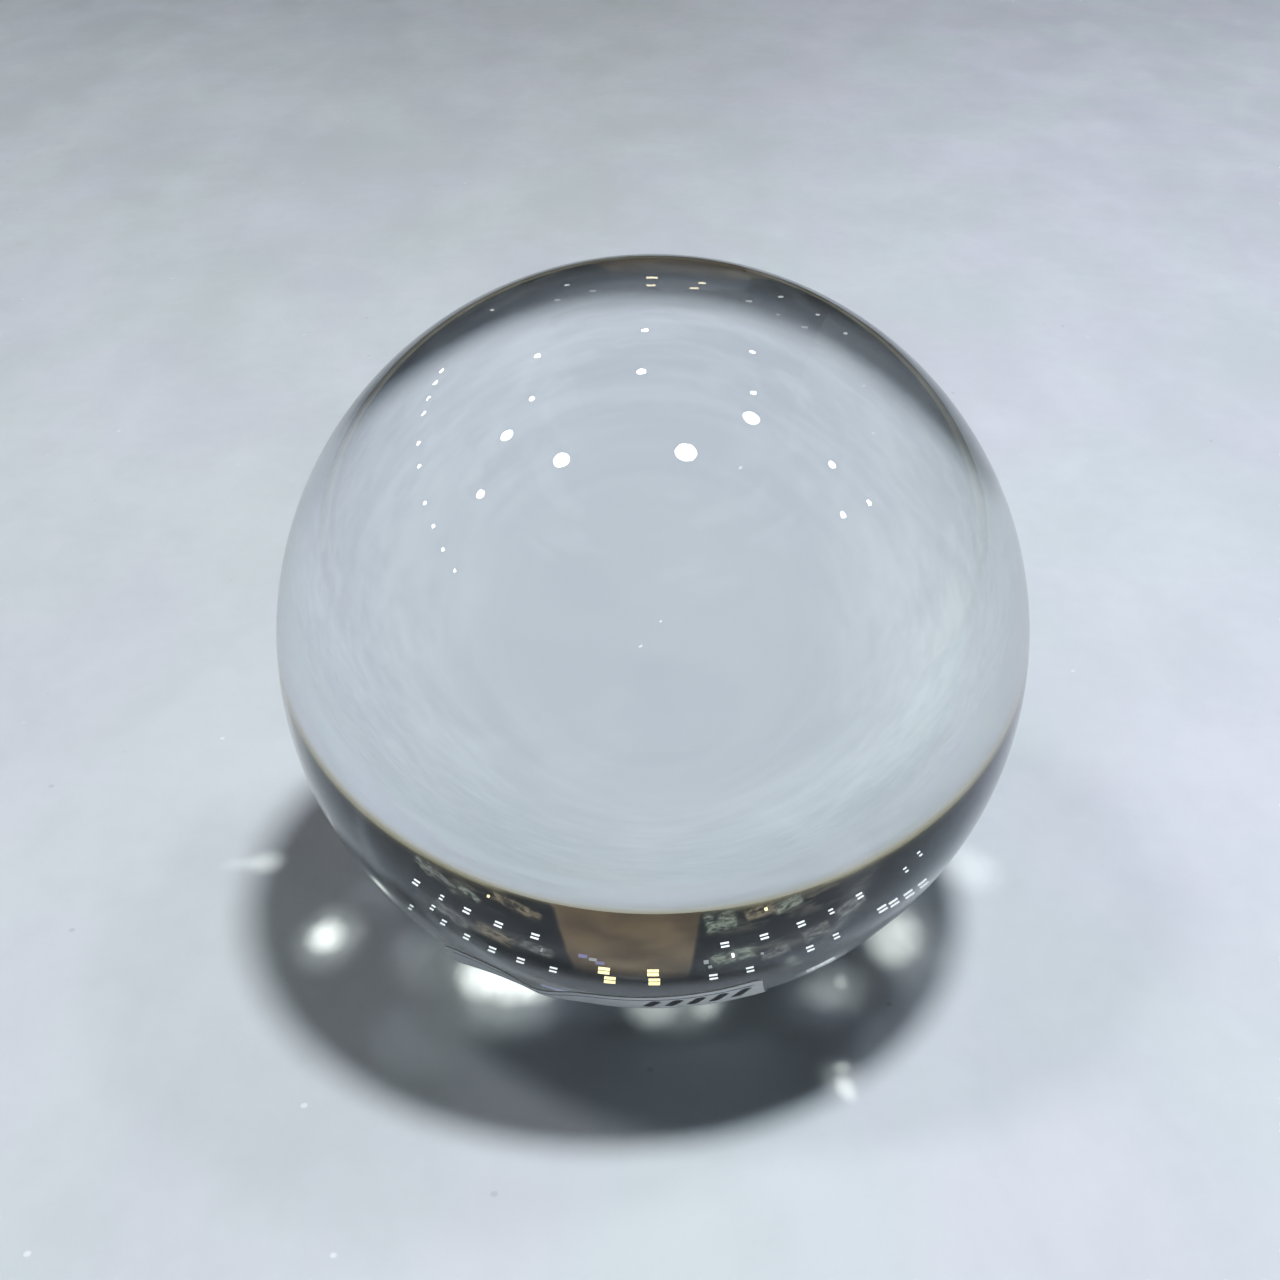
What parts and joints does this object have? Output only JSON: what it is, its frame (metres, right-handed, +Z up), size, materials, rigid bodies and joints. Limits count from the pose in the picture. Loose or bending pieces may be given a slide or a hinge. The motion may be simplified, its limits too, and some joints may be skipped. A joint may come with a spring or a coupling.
{
  "type": "crystal ball",
  "caption": "Solid clear glass sphere, ground and polished, with a small paper price label stuck to its lower front.",
  "frame": {"origin": "centre of the glass sphere, which is also the centre of the overall box", "axes": "+Z up when the ball stands on its lowest point; -Y is the front, where the label sits below the equator; +X is to the right seen from the front"},
  "size_m": [0.08, 0.08, 0.08],
  "materials": {
    "clear_glass": "polished, clear and colourless with a faint cool grey tint",
    "label_paper": "matt white uncoated paper with a thin printed border"
  },
  "bodies": {
    "root": {"crystal_ball": "clear_glass", "price_label": "label_paper"}
  },
  "joints": []
}
